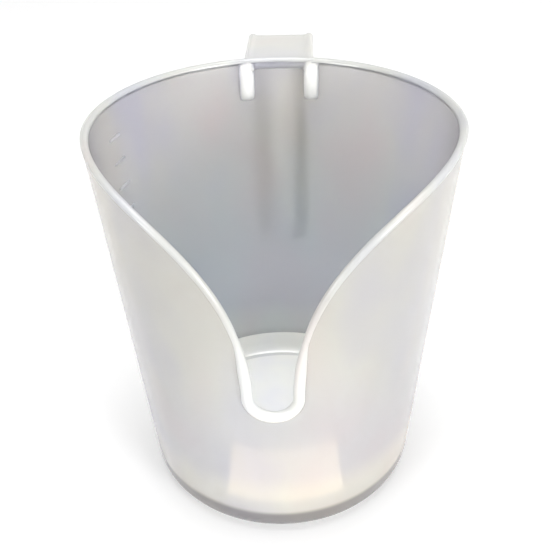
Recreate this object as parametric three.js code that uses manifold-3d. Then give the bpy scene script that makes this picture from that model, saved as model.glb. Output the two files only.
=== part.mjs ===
import * as THREE from 'three';
import { mergeVertices } from 'three/addons/utils/BufferGeometryUtils.js';
import Module from 'manifold-3d';

// Measuring cup of translucent polypropylene. A tapered beaker has a front edge that dips into a
// deep pouring notch, and an open-ended channel handle hangs from its rim at the back.
// Millimetres, +Z up. The origin is the middle of the base, the notch faces -Y, the handle +Y.
// The real cup is one moulding: each named piece here is one of its features.

// Beaker
const RIM_RADIUS = 62; // outside of the wall at the level of the rim
const BASE_RADIUS = 52.6; // outside of the wall, carried down to the table
const RIM_LEVEL = 142.3; // height of the middle of the rim bead
const WALL = 2.2; // thickness of the wall, measured level
const FLOOR = 3; // thickness of the floor
const OUTER_CORNER = 7.3; // radius between the wall and the underside
const INNER_CORNER = 4.8; // radius between the wall and the floor
const FLOOR_LEDGE = 1; // flat ring of the wall piece outside the floor disc

// Round bead along the edge, flush with the inside of the wall and proud of its outside: thick at
// the rim, hardly thicker than the wall on the shoulders, thickest at the spout
const RIM_BEAD = 3;
const SHOULDER_BEAD = 2.4;
const SPOUT_BEAD = 3.9;
const LEAST_BEAD = 1.05; // least thickness of the bead, as a share of the wall's
const RIM_FADE = 24; // length along the edge in which the rim bead thins out
const SPOUT_BEAD_TOP = 10; // height above the notch's round part where the spout bead starts to thin
const SPOUT_FADE = 14; // height in which it thins out

// Pouring notch, on the middle line of the bead
const NOTCH_BOTTOM = 63.8; // lowest height of the bead's middle
const NOTCH_RADIUS = 8.25; // round bottom of the notch
const SHOULDER_UPRIGHT = 0.9; // share of the climb to the rim in which the shoulder is pulled upright
const SHOULDER_LEVEL = 0.48; // share of the way to the side in which it is pulled level

// Handle, a channel that opens towards the beaker
const HANDLE_WIDTH = 27.5;
const HANDLE_REACH = 38.5; // from the rim bead to the back of the grip
const HANDLE_BEND = 9.5; // outside radius of the bend
const HANDLE_TIP = 39; // height of the free lower end
const TIP_ROUND = 11; // rounding of the lower end, seen from behind
const WEB = 2.6; // thickness of the channel's back
const FLANGE = 3; // thickness of each side
const FLANGE_DEPTH = 9; // depth of each side, from its outer edge
const FLANGE_PROUD = 0.6; // how far each side stands above the web
const INNER_BEND = 6; // radius of the bend on the sides' inner edge
const ROOT_FILLET = 6.5; // radius in which the sides run down the beaker
const TIP_FILLET = 5; // rounding of the sides' lower inner corner

// Graduation marks, raised on the outside of the wall
const MARK_STEP = 100; // millilitres between marks
const MARK_HEIGHT = 1;
const MARK_PROUD = 0.4;
const MARK_MIDDLE = 106; // degrees from the spout, towards -X
const MARK_FACETS = 2; // length of a mark in facets of the wall
const MARK_MARGIN = 8; // least height left between the last mark and the middle of the rim bead

// Joints between pieces, and fineness
const GAP = 0.3; // clearance where a piece is shaped by its neighbour
const FACETS = 96; // facets round the beaker
const CORNER_STEPS = 5;
const NOTCH_STEPS = 9;
const SHOULDER_STEPS = 26;
const BEAD_STEPS = 10; // steps round the bead's section
const BEND_STEPS = 8;
const WELD = 1e-4; // corners this close are one
const LEVEL_TOLERANCE = 1e-6; // of a mark's height

const wasm = await Module();
wasm.setup();

// Cone of the wall
const lean = Math.atan((RIM_RADIUS - BASE_RADIUS) / RIM_LEVEL);
const outerRadius = (z) => BASE_RADIUS + z * Math.tan(lean);
const innerRadius = (z) => outerRadius(z) - WALL;
const middleRadius = (z) => outerRadius(z) - WALL / 2;
const halfWall = (WALL / 2) * Math.cos(lean);
const leastBead = LEAST_BEAD * 2 * halfWall;
const rimBead = Math.max(RIM_BEAD, leastBead);
const facetAngle = (2 * Math.PI) / FACETS;

// A point at an angle from the spout, positive towards +X
const around = (angle, radius, z) =>
  new THREE.Vector3(radius * Math.sin(angle), -radius * Math.cos(angle), z);

const plastic = new THREE.MeshStandardMaterial({
  color: 0xdcdcdc,
  roughness: 0.35,
  metalness: 0,
  transparent: true,
  opacity: 0.6,
});
const edgePlastic = plastic.clone();
edgePlastic.color.set(0xf4f4f2);
edgePlastic.opacity = 0.85;

// Welds a geometry into positions and whole triangles only
function weld(geometry) {
  const bare = geometry.index ? geometry : mergeVertices(geometry);
  bare.deleteAttribute('normal');
  bare.deleteAttribute('uv');
  const merged = mergeVertices(bare, WELD);
  const index = merged.index.array;
  const kept = [];
  for (let i = 0; i < index.length; i += 3) {
    const [a, b, c] = [index[i], index[i + 1], index[i + 2]];
    if (a !== b && b !== c && c !== a) kept.push(a, b, c);
  }
  merged.setIndex(kept);
  return merged;
}

function solidOf(geometry) {
  const welded = weld(geometry);
  return new wasm.Manifold(
    new wasm.Mesh({
      numProp: 3,
      vertProperties: new Float32Array(welded.attributes.position.array),
      triVerts: new Uint32Array(welded.index.array),
    }),
  );
}

function geometryOf(solid) {
  const mesh = solid.getMesh();
  const geometry = new THREE.BufferGeometry();
  geometry.setAttribute('position', new THREE.BufferAttribute(new Float32Array(mesh.vertProperties), 3));
  geometry.setIndex(new THREE.BufferAttribute(new Uint32Array(mesh.triVerts), 1));
  return geometry;
}

function meshOf(name, geometry, material) {
  geometry.computeVertexNormals();
  const mesh = new THREE.Mesh(geometry, material);
  mesh.name = name;
  return mesh;
}

// A turned solid from points (radius, height), listed so that the outside runs upwards
function turned(points) {
  const geometry = new THREE.LatheGeometry(points, FACETS);
  geometry.rotateX(Math.PI / 2);
  return weld(geometry);
}

function arcPoints(x, y, radius, fromDegrees, toDegrees, steps) {
  const from = THREE.MathUtils.degToRad(fromDegrees);
  const to = THREE.MathUtils.degToRad(toDegrees);
  return new THREE.EllipseCurve(x, y, radius, radius, from, to, to < from).getPoints(steps);
}

// Skins a row of rings that have as many points each, and caps the ends of an open row
function skinned(rings, closed) {
  const count = rings[0].length;
  const corners = rings.flat().flatMap((point) => point.toArray());
  const faces = [];
  const last = closed ? rings.length : rings.length - 1;
  for (let i = 0; i < last; i += 1) {
    const here = i * count;
    const next = ((i + 1) % rings.length) * count;
    for (let j = 0; j < count; j += 1) {
      const k = (j + 1) % count;
      faces.push(here + j, next + j, next + k, here + j, next + k, here + k);
    }
  }
  if (!closed) {
    const end = (rings.length - 1) * count;
    for (let j = 1; j < count - 1; j += 1) {
      faces.push(0, j, j + 1);
      faces.push(end, end + j + 1, end + j);
    }
  }
  const geometry = new THREE.BufferGeometry();
  geometry.setAttribute('position', new THREE.Float32BufferAttribute(corners, 3));
  geometry.setIndex(faces);
  return geometry;
}

// Where the corner arcs between the wall and the level faces have their middles
const outerCornerRadius = BASE_RADIUS + OUTER_CORNER * Math.tan(lean) - OUTER_CORNER / Math.cos(lean);
const innerCornerLevel = FLOOR + INNER_CORNER;
const innerCornerRadius = innerRadius(innerCornerLevel) - INNER_CORNER / Math.cos(lean);
const floorRadius = Math.min(outerCornerRadius, innerCornerRadius) - FLOOR_LEDGE;

// Middle line of the bead on one side of the notch, as (length round the wall, height)
const notchSide = new THREE.Vector2(NOTCH_RADIUS, NOTCH_BOTTOM + NOTCH_RADIUS);
const edgeSide = new THREE.Vector2((Math.PI / 2) * middleRadius(RIM_LEVEL), RIM_LEVEL);
const climb = edgeSide.y - notchSide.y;
const spread = edgeSide.x - notchSide.x;
const notchArc = arcPoints(0, notchSide.y, NOTCH_RADIUS, -90, 0, NOTCH_STEPS);
const shoulder = new THREE.CubicBezierCurve(
  notchSide,
  new THREE.Vector2(notchSide.x, notchSide.y + SHOULDER_UPRIGHT * climb),
  new THREE.Vector2(edgeSide.x - SHOULDER_LEVEL * spread, edgeSide.y),
  edgeSide,
).getPoints(SHOULDER_STEPS);

// Thickness of the bead at a point of that line
function beadThickness(length, z) {
  const rim = THREE.MathUtils.smoothstep(length, edgeSide.x - RIM_FADE, edgeSide.x);
  const fadeStart = notchSide.y + SPOUT_BEAD_TOP;
  const spout = 1 - THREE.MathUtils.smoothstep(z, fadeStart, fadeStart + SPOUT_FADE);
  const thickness = SHOULDER_BEAD + rim * (RIM_BEAD - SHOULDER_BEAD) + spout * (SPOUT_BEAD - SHOULDER_BEAD);
  return Math.max(thickness, leastBead);
}

// Stations of the whole edge, from the back round the -X side, the spout and the +X side
function edgeStations() {
  const quarter = FACETS / 4;
  const half = [];
  for (const { x, y } of [...notchArc, ...shoulder.slice(1)]) {
    half.push({ angle: x / middleRadius(y), z: y, thickness: beadThickness(x, y) });
  }
  const sideStation = half.length - 1;
  for (let i = 1; i <= quarter; i += 1) {
    half.push({ angle: Math.PI / 2 + i * facetAngle, z: RIM_LEVEL, thickness: rimBead });
  }
  const mirrored = half.slice(1, -1).reverse().map((station) => ({ ...station, angle: -station.angle }));
  const stations = [...mirrored, ...half];
  const spoutStation = mirrored.length;
  const places = stations.map(({ angle, z }) => around(angle, middleRadius(z), z));
  stations.forEach((station, i) => {
    const before = places[(i + places.length - 1) % places.length];
    const after = places[(i + 1) % places.length];
    station.out = around(station.angle, Math.cos(lean), -Math.sin(lean));
    const along = after.clone().sub(before);
    along.addScaledVector(station.out, -along.dot(station.out)).normalize();
    station.up = station.out.clone().cross(along);
    station.round = station.thickness / 2;
    station.middle = places[i].clone().addScaledVector(station.out, station.round - halfWall);
    station.wallSide = 2 * halfWall - station.round;
    station.seat = Math.sqrt(station.round ** 2 - station.wallSide ** 2);
  });
  return { stations, spoutStation, sideStation };
}

const { stations, spoutStation, sideStation } = edgeStations();
const stationAt = (index) => stations[(index + stations.length) % stations.length];

// Section of the bead: round from the wall's outside over the top to its inside, then down the
// inside to a flat seat on the wall's edge
function beadRing({ middle, out, up, round, wallSide, seat }) {
  const ring = [];
  const start = -Math.acos(wallSide / round);
  for (let j = 0; j <= BEAD_STEPS; j += 1) {
    const turn = start + (j * (Math.PI - start)) / BEAD_STEPS;
    const point = middle.clone().addScaledVector(out, round * Math.cos(turn));
    ring.push(point.addScaledVector(up, round * Math.sin(turn)));
  }
  ring.push(middle.clone().addScaledVector(out, -round).addScaledVector(up, -seat));
  return ring;
}

function beadBetween(first, last) {
  const rings = [];
  for (let i = first; i <= last; i += 1) rings.push(beadRing(stationAt(i)));
  return skinned(rings, false);
}

const wallTop = RIM_LEVEL + 2 * rimBead; // of the wall before it is cut to its outline

// Everything above the wall's edge, all the way round
function aboveEdge() {
  const ceiling = wallTop + rimBead;
  const reach = 2 * WALL + Math.abs(outerRadius(ceiling) - outerRadius(0));
  const rings = stations.map(({ middle, out, up, seat }) => {
    const edge = middle.clone().addScaledVector(up, -seat - GAP);
    const outer = edge.clone().addScaledVector(out, reach);
    const inner = edge.clone().addScaledVector(out, -reach);
    const raised = (point) => new THREE.Vector3(point.x, point.y, ceiling);
    return [outer, raised(outer), raised(inner), inner];
  });
  return skinned(rings, true);
}

// Beaker

function floorDisc() {
  return turned([
    new THREE.Vector2(0, 0),
    new THREE.Vector2(floorRadius, 0),
    new THREE.Vector2(floorRadius, FLOOR),
    new THREE.Vector2(0, FLOOR),
  ]);
}

function wall() {
  const leanDegrees = THREE.MathUtils.radToDeg(lean);
  const start = new THREE.Vector2(floorRadius, 0);
  const profile = [
    start,
    ...arcPoints(outerCornerRadius, OUTER_CORNER, OUTER_CORNER, -90, -leanDegrees, CORNER_STEPS),
    new THREE.Vector2(outerRadius(wallTop), wallTop),
    new THREE.Vector2(innerRadius(wallTop), wallTop),
    ...arcPoints(innerCornerRadius, innerCornerLevel, INNER_CORNER, -leanDegrees, -90, CORNER_STEPS),
    new THREE.Vector2(floorRadius, FLOOR),
    start,
  ];
  return geometryOf(solidOf(turned(profile)).subtract(solidOf(aboveEdge())));
}

const spoutEnd = NOTCH_STEPS + SHOULDER_STEPS / 2; // stations from the spout's middle to its piece's end
const beaker = new THREE.Group();
beaker.add(
  meshOf('cup_floor', floorDisc(), plastic),
  meshOf('cup_wall', wall(), plastic),
  meshOf('spout_lip', beadBetween(spoutStation - spoutEnd, spoutStation + spoutEnd), edgePlastic),
  meshOf(
    'shoulder_edge_left',
    beadBetween(spoutStation - sideStation, spoutStation - spoutEnd),
    edgePlastic,
  ),
  meshOf(
    'shoulder_edge_right',
    beadBetween(spoutStation + spoutEnd, spoutStation + sideStation),
    edgePlastic,
  ),
  meshOf(
    'rim_bead',
    beadBetween(spoutStation + sideStation, spoutStation + sideStation + FACETS / 2),
    edgePlastic,
  ),
);

// Handle

// Middle of the rim bead's section, as (distance from the axis, height)
const rimMiddle = new THREE.Vector2(rimBead / 2 - halfWall, 0)
  .rotateAround(new THREE.Vector2(), -lean)
  .add(new THREE.Vector2(middleRadius(RIM_LEVEL), RIM_LEVEL));
const handleTop = rimMiddle.y + rimBead / 2; // level with the rim
const handleBack = rimMiddle.x + rimBead / 2 + HANDLE_REACH;
const bendMiddle = new THREE.Vector2(handleBack - HANDLE_BEND, handleTop - HANDLE_BEND);
const handleStart = rimMiddle.x - HANDLE_WIDTH; // inside the beaker, cut off by its outside
const webHalfWidth = HANDLE_WIDTH / 2 - FLANGE;

// Pushes an outline in (y, z) out along X
function plate(outline, fromX, toX) {
  const shape = new THREE.Shape(outline);
  const geometry = new THREE.ExtrudeGeometry(shape, { depth: toX - fromX, bevelEnabled: false });
  geometry.applyMatrix4(
    new THREE.Matrix4().makeBasis(
      new THREE.Vector3(0, 1, 0),
      new THREE.Vector3(0, 0, 1),
      new THREE.Vector3(1, 0, 0),
    ),
  );
  geometry.translate(fromX, 0, 0);
  return solidOf(geometry);
}

// The space that the beaker and its rim bead take up, with the clearance round them
function beakerSpace() {
  const beadReach = rimBead / 2 + GAP;
  const below = -GAP;
  const above = handleTop + HANDLE_BEND;
  const underBead = rimMiddle.y - beadReach;
  const roundBead = arcPoints(rimMiddle.x, rimMiddle.y, beadReach, -45, 45, 2 * CORNER_STEPS);
  const profile = [
    new THREE.Vector2(0, below),
    new THREE.Vector2(outerRadius(below) + GAP, below),
    new THREE.Vector2(outerRadius(underBead) + GAP, underBead),
    ...roundBead,
    new THREE.Vector2(roundBead.at(-1).x, above),
    new THREE.Vector2(0, above),
  ];
  return solidOf(turned(profile));
}

// The handle's outline seen from behind, with its rounded lower end, as a block
function handleSpace() {
  const half = HANDLE_WIDTH / 2;
  const round = Math.min(TIP_ROUND, half);
  const outline = [
    new THREE.Vector2(-half, handleTop + HANDLE_BEND),
    ...arcPoints(round - half, HANDLE_TIP + round, round, 180, 270, BEND_STEPS),
    ...arcPoints(half - round, HANDLE_TIP + round, round, 270, 360, BEND_STEPS),
    new THREE.Vector2(half, handleTop + HANDLE_BEND),
  ];
  const depth = handleBack + HANDLE_BEND;
  const geometry = new THREE.ExtrudeGeometry(new THREE.Shape(outline), { depth, bevelEnabled: false });
  geometry.rotateX(Math.PI / 2);
  geometry.translate(0, depth, 0);
  return solidOf(geometry);
}

const beakerSolid = beakerSpace();
const handleBlock = handleSpace();
const fitted = (solid) => geometryOf(solid.subtract(beakerSolid).intersect(handleBlock));

function bridge() {
  const outer = HANDLE_BEND - FLANGE_PROUD;
  const inner = outer - WEB;
  const outline = [
    new THREE.Vector2(handleStart, bendMiddle.y + inner),
    ...arcPoints(bendMiddle.x, bendMiddle.y, inner, 90, 0, BEND_STEPS),
    ...arcPoints(bendMiddle.x, bendMiddle.y, outer, 0, 90, BEND_STEPS),
    new THREE.Vector2(handleStart, bendMiddle.y + outer),
  ];
  return fitted(plate(outline, -webHalfWidth, webHalfWidth));
}

function grip() {
  const back = handleBack - FLANGE_PROUD;
  const outline = [
    new THREE.Vector2(back - WEB, HANDLE_TIP),
    new THREE.Vector2(back, HANDLE_TIP),
    new THREE.Vector2(back, bendMiddle.y),
    new THREE.Vector2(back - WEB, bendMiddle.y),
  ];
  return fitted(plate(outline, -webHalfWidth, webHalfWidth));
}

function flange(fromX, toX) {
  const front = handleBack - FLANGE_DEPTH;
  const underside = handleTop - FLANGE_DEPTH;
  const rootLevel = underside - ROOT_FILLET;
  const rootPlace = outerRadius(rootLevel);
  const outline = [
    new THREE.Vector2(handleStart, rootLevel),
    ...arcPoints(rootPlace + ROOT_FILLET, rootLevel, ROOT_FILLET, 180, 90, BEND_STEPS),
    ...arcPoints(front - INNER_BEND, underside - INNER_BEND, INNER_BEND, 90, 0, BEND_STEPS),
    ...arcPoints(front + TIP_FILLET, HANDLE_TIP + TIP_FILLET, TIP_FILLET, 180, 270, BEND_STEPS),
    new THREE.Vector2(handleBack, HANDLE_TIP),
    ...arcPoints(bendMiddle.x, bendMiddle.y, HANDLE_BEND, 0, 90, BEND_STEPS),
    new THREE.Vector2(handleStart, handleTop),
  ];
  return fitted(plate(outline, fromX, toX));
}

const handle = new THREE.Group();
handle.add(
  meshOf('handle_bridge', bridge(), plastic),
  meshOf('handle_grip', grip(), plastic),
  meshOf('handle_flange_left', flange(-HANDLE_WIDTH / 2, -webHalfWidth), plastic),
  meshOf('handle_flange_right', flange(webHalfWidth, HANDLE_WIDTH / 2), plastic),
);

// Graduation

// Volume in millilitres inside the beaker up to a height, with the rounded corner taken off
function volumeTo(z) {
  const [low, high] = [innerRadius(FLOOR), innerRadius(z)];
  const cone = ((Math.PI * (z - FLOOR)) / 3) * (low * low + low * high + high * high);
  const corner = 2 * Math.PI * innerCornerRadius * (1 - Math.PI / 4) * INNER_CORNER ** 2;
  return (cone - corner) / 1000;
}

function heightOf(volume) {
  let [low, high] = [FLOOR, 10 * RIM_LEVEL];
  while (high - low > LEVEL_TOLERANCE) {
    const middle = (low + high) / 2;
    if (volumeTo(middle) < volume) low = middle;
    else high = middle;
  }
  return low;
}

// One raised bar along the wall's facets, turned into place about the beaker's axis
function markGeometry(z) {
  const rings = [];
  for (let i = 0; i <= MARK_FACETS; i += 1) {
    const angle = i * facetAngle;
    const [low, high] = [z - MARK_HEIGHT / 2, z + MARK_HEIGHT / 2];
    rings.push([
      around(angle, outerRadius(low) + MARK_PROUD, low),
      around(angle, outerRadius(high) + MARK_PROUD, high),
      around(angle, outerRadius(high), high),
      around(angle, outerRadius(low), low),
    ]);
  }
  return skinned(rings, false);
}

const graduation = new THREE.Group();
const firstFacet = Math.round(THREE.MathUtils.degToRad(MARK_MIDDLE) / facetAngle + MARK_FACETS / 2);
graduation.rotation.z = -firstFacet * facetAngle;
for (let volume = MARK_STEP; heightOf(volume) < RIM_LEVEL - MARK_MARGIN; volume += MARK_STEP) {
  const name = `mark_${String(volume).padStart(4, '0')}_ml`;
  graduation.add(meshOf(name, markGeometry(heightOf(volume)), edgePlastic));
}

const cup = new THREE.Group();
cup.add(beaker, handle, graduation);

export default cup;
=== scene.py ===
"""Translucent measuring cup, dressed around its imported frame.

The beaker's shell and the graduation are node trees that follow the cone of the wall. The handle
is a channel section carried along its outline. The three meshes reach into each other, because
the real cup is one moulding.
"""

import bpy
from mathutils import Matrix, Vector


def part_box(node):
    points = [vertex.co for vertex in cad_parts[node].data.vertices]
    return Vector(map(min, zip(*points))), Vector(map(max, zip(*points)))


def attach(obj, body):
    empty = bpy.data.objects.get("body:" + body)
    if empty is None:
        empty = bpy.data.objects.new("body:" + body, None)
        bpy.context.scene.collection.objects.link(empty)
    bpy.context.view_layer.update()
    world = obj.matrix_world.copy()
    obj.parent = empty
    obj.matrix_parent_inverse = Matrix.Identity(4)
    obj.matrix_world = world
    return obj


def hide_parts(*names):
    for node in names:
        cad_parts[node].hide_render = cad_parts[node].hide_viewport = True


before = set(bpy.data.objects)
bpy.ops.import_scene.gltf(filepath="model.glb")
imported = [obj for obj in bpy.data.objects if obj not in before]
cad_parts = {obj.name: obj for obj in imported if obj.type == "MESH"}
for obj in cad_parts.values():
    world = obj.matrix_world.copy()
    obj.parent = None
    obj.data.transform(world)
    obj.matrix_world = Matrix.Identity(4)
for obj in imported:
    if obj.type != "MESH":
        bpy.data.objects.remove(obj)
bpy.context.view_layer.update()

import logging
import math
from dataclasses import dataclass
from enum import Enum
from typing import Iterable, Sequence

import bpy
import numpy as np
from mathutils import Matrix, Vector

log = logging.getLogger("cup")
MM = 0.001
QUARTER = math.pi / 2  # of a turn
WHITE = (1, 1, 1, 1)
DOWN = np.array((0.0, -1.0))  # as (y, z)
PHOTO_SIDE = 551  # pixels

# Attributes that mark a part of the beaker, each with the input that brings the part's material.
# A later one wins over an earlier one.
INSIDE_PART = "inside_part"
EDGE_AND_SHADE_LINE_PART = "edge_and_shade_line_part"
FLOOR_PART = "floor_part"
AREAS = {
    INSIDE_PART: "Inside Material",
    EDGE_AND_SHADE_LINE_PART: "Edge Material",
    FLOOR_PART: "Floor Material",
}

# Attributes of a graduation bar until it is bent
LOCAL = "place_in_bar"
LEVEL = "level"


# Fields: arithmetic that becomes nodes


class Field:
    """A value that varies over a mesh. Arithmetic on it adds Math nodes to its tree."""

    def __init__(self, tree: bpy.types.NodeTree, socket: bpy.types.NodeSocket) -> None:
        """Keeps the tree and the output socket that carries the value."""
        self.tree = tree
        self.socket = socket

    def calculate(self, operation: str, *values: "Field | float") -> "Field":
        """Adds one Math node.

        Args:
            operation: the node's operation, such as "ADD".
            values: what its inputs take, in order.

        Returns:
            The node's result.
        """
        node = self.tree.nodes.new("ShaderNodeMath")
        node.operation = operation
        feed(node, dict(enumerate(values)))
        return Field(self.tree, node.outputs[0])

    def __add__(self, other: "Field | float") -> "Field":
        """Returns the sum."""
        return self.calculate("ADD", self, other)

    def __sub__(self, other: "Field | float") -> "Field":
        """Returns the difference."""
        return self.calculate("SUBTRACT", self, other)

    def __mul__(self, other: "Field | float") -> "Field":
        """Returns the product."""
        return self.calculate("MULTIPLY", self, other)

    def __truediv__(self, other: "Field | float") -> "Field":
        """Returns the quotient."""
        return self.calculate("DIVIDE", self, other)

    def __gt__(self, other: "Field | float") -> "Field":
        """Returns 1 where this is the larger one, and else 0."""
        return self.calculate("GREATER_THAN", self, other)

    def __lt__(self, other: "Field | float") -> "Field":
        """Returns 1 where this is the smaller one, and else 0."""
        return self.calculate("LESS_THAN", self, other)

    def __neg__(self) -> "Field":
        """Returns the opposite."""
        return self * -1.0

    def __rsub__(self, other: float) -> "Field":
        """Returns a number minus this."""
        return self.calculate("SUBTRACT", other, self)

    def __rtruediv__(self, other: float) -> "Field":
        """Returns a number divided by this."""
        return self.calculate("DIVIDE", other, self)

    __radd__ = __add__
    __rmul__ = __mul__

    def function(self, operation: str) -> "Field":
        """Returns a function of one value, such as "SINE"."""
        return self.calculate(operation, self)

    def clamped(self) -> "Field":
        """Returns this, kept between 0 and 1."""
        return self.calculate("MINIMUM", self.calculate("MAXIMUM", self, 0.0), 1.0)

    def smooth(self) -> "Field":
        """Returns a smooth step from 0 to 1."""
        step = self.clamped()
        return step * step * (3.0 - 2.0 * step)

    def choose(self, there: "Field | float", elsewhere: "Field | float") -> "Field":
        """Returns there where this is 1, and elsewhere where it is 0."""
        return elsewhere + self * (there - elsewhere)


def feed(node: bpy.types.Node, inputs: dict[str | int, object]) -> bpy.types.Node:
    """Sets a node's inputs, and connects those that take a socket or a field.

    Args:
        node: the node.
        inputs: what each input takes, by label or number.

    Returns:
        The same node.
    """
    for label, value in inputs.items():
        if isinstance(value, Field):
            value = value.socket
        if isinstance(value, bpy.types.NodeSocket):
            node.id_data.links.new(value, node.inputs[label])
        else:
            node.inputs[label].default_value = value
    return node


def sine(value: Field) -> Field:
    """Returns the sine."""
    return value.function("SINE")


def cosine(value: Field) -> Field:
    """Returns the cosine."""
    return value.function("COSINE")


def root(value: Field) -> Field:
    """Returns the square root, 0 below 0."""
    return value.function("SQRT")


def hermite(
    step: Field,
    start: Field | float,
    start_slope: Field,
    end: Field | float,
    end_slope: Field | float,
) -> Field:
    """A smooth way from one value to another.

    Args:
        step: 0 at the start and 1 at the end.
        start: value at the start.
        start_slope: rate of change there.
        end: value at the end.
        end_slope: rate of change there.

    Returns:
        The value at step.
    """
    square = step * step
    cube = square * step
    ease = 3.0 * square - 2.0 * cube
    return (
        start * (1.0 - ease)
        + end * ease
        + start_slope * (cube - 2.0 * square + step)
        + end_slope * (cube - square)
    )


class Nodes:
    """A node tree that is being built."""

    def __init__(self, group: bpy.types.NodeTree) -> None:
        """Takes the tree."""
        self.group = group

    def node(
        self, kind: str, inputs: dict[str | int, object] | None = None, **settings: object
    ) -> bpy.types.Node:
        """Adds a node.

        Args:
            kind: its type.
            inputs: what its inputs take, by label or number.
            settings: its properties.

        Returns:
            The node.
        """
        made = self.group.nodes.new(kind)
        for key, value in settings.items():
            setattr(made, key, value)
        return feed(made, inputs or {})

    def split(self, socket: bpy.types.NodeSocket) -> tuple[Field, Field, Field]:
        """Returns the three parts of a vector."""
        node = self.node("ShaderNodeSeparateXYZ", {0: socket})
        return tuple(Field(self.group, part) for part in node.outputs)


class Tree(Nodes):
    """A geometry node tree with named inputs."""

    KINDS = {
        float: "NodeSocketFloat",
        int: "NodeSocketInt",
        bpy.types.Material: "NodeSocketMaterial",
    }
    MARKED = 0.6  # a face is in an area where its corners' marks have a mean above this

    def __init__(self, name: str, inputs: dict[str, object], takes_geometry: bool = False) -> None:
        """Makes the tree.

        Args:
            name: the tree's name.
            inputs: name and value of each input; a float, an int or a material.
            takes_geometry: whether it works on its object's own mesh.
        """
        super().__init__(bpy.data.node_groups.new(name, "GeometryNodeTree"))
        self.values = inputs
        interface = self.group.interface
        for way in ("OUTPUT", "INPUT") if takes_geometry else ("OUTPUT",):
            interface.new_socket("Geometry", in_out=way, socket_type="NodeSocketGeometry")
        for label, value in inputs.items():
            interface.new_socket(label, in_out="INPUT", socket_type=self.KINDS[type(value)])
        self.source = self.node("NodeGroupInput")
        self.target = self.node("NodeGroupOutput")

    def value(self, label: str) -> Field:
        """Returns the named input as a field."""
        return Field(self.group, self.source.outputs[label])

    def vector(self, *parts: Field | float) -> bpy.types.NodeSocket:
        """Returns a vector of up to three parts."""
        return self.node("ShaderNodeCombineXYZ", dict(enumerate(parts))).outputs[0]

    def position(self) -> bpy.types.NodeSocket:
        """Returns the place of each point."""
        return self.node("GeometryNodeInputPosition").outputs[0]

    def named(self, name: str, kind: str = "FLOAT") -> bpy.types.NodeSocket:
        """Returns a stored attribute."""
        node = self.node("GeometryNodeInputNamedAttribute", {"Name": name}, data_type=kind)
        return node.outputs["Attribute"]

    def store(
        self, geometry: bpy.types.NodeSocket, name: str, value: object
    ) -> bpy.types.NodeSocket:
        """Stores a value at each point and returns the geometry."""
        kind = "FLOAT" if isinstance(value, Field) else "FLOAT_VECTOR"
        inputs = {"Geometry": geometry, "Name": name, "Value": value}
        node = self.node(
            "GeometryNodeStoreNamedAttribute", inputs, data_type=kind, domain="POINT"
        )
        return node.outputs[0]

    def finish(
        self, geometry: bpy.types.NodeSocket, marked: dict[str, str], stored: Sequence[str]
    ) -> None:
        """Realizes, smooths and dresses the geometry, and puts it out.

        Args:
            geometry: what is put out.
            marked: for each attribute that marks an area, the material input that it takes.
            stored: the attributes that aren't kept.
        """
        for kind in ("GeometryNodeRealizeInstances", "GeometryNodeSetShadeSmooth"):
            geometry = self.node(kind, {0: geometry}).outputs[0]
        for area, label in {"": "Material", **marked}.items():
            inputs = {"Geometry": geometry, "Material": self.source.outputs[label]}
            if area:
                inputs["Selection"] = Field(self.group, self.named(area)) > self.MARKED
            geometry = self.node("GeometryNodeSetMaterial", inputs).outputs[0]
        for name in stored:
            inputs = {"Geometry": geometry, "Name": name}
            geometry = self.node("GeometryNodeRemoveAttribute", inputs).outputs[0]
        feed(self.target, {0: geometry})

    def mesh(self, name: str, start: bpy.types.Mesh | None = None) -> bpy.types.Object:
        """Runs the tree.

        Args:
            name: the new object's name.
            start: the mesh that the tree works on, if it takes one.

        Returns:
            An object with the result as a plain mesh.
        """
        host = add_object(name, start or bpy.data.meshes.new(name))
        modifier = host.modifiers.new(self.group.name, "NODES")
        modifier.node_group = self.group
        for item in self.group.interface.items_tree:
            if item.in_out == "INPUT" and item.name in self.values:
                modifier[item.identifier] = self.values[item.name]
        return made_plain(host)


def add_object(name: str, data: bpy.types.ID) -> bpy.types.Object:
    """Returns a new object in the scene."""
    made = bpy.data.objects.new(name, data)
    bpy.context.scene.collection.objects.link(made)
    return made


def made_plain(host: bpy.types.Object) -> bpy.types.Object:
    """Replaces an object's mesh by what its modifiers make of it, and removes them.

    Args:
        host: the object.

    Returns:
        The same object.
    """
    graph = bpy.context.evaluated_depsgraph_get()
    result = bpy.data.meshes.new_from_object(host.evaluated_get(graph), depsgraph=graph)
    host.modifiers.clear()
    host.data = result
    result.name = host.name
    return host


def labelled(sizes: dict[str, object]) -> dict[str, object]:
    """Returns sizes under the names of a tree's inputs, such as "Rim Radius"."""
    return {key.replace("_", " ").title(): value for key, value in sizes.items()}


# Beaker


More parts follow.
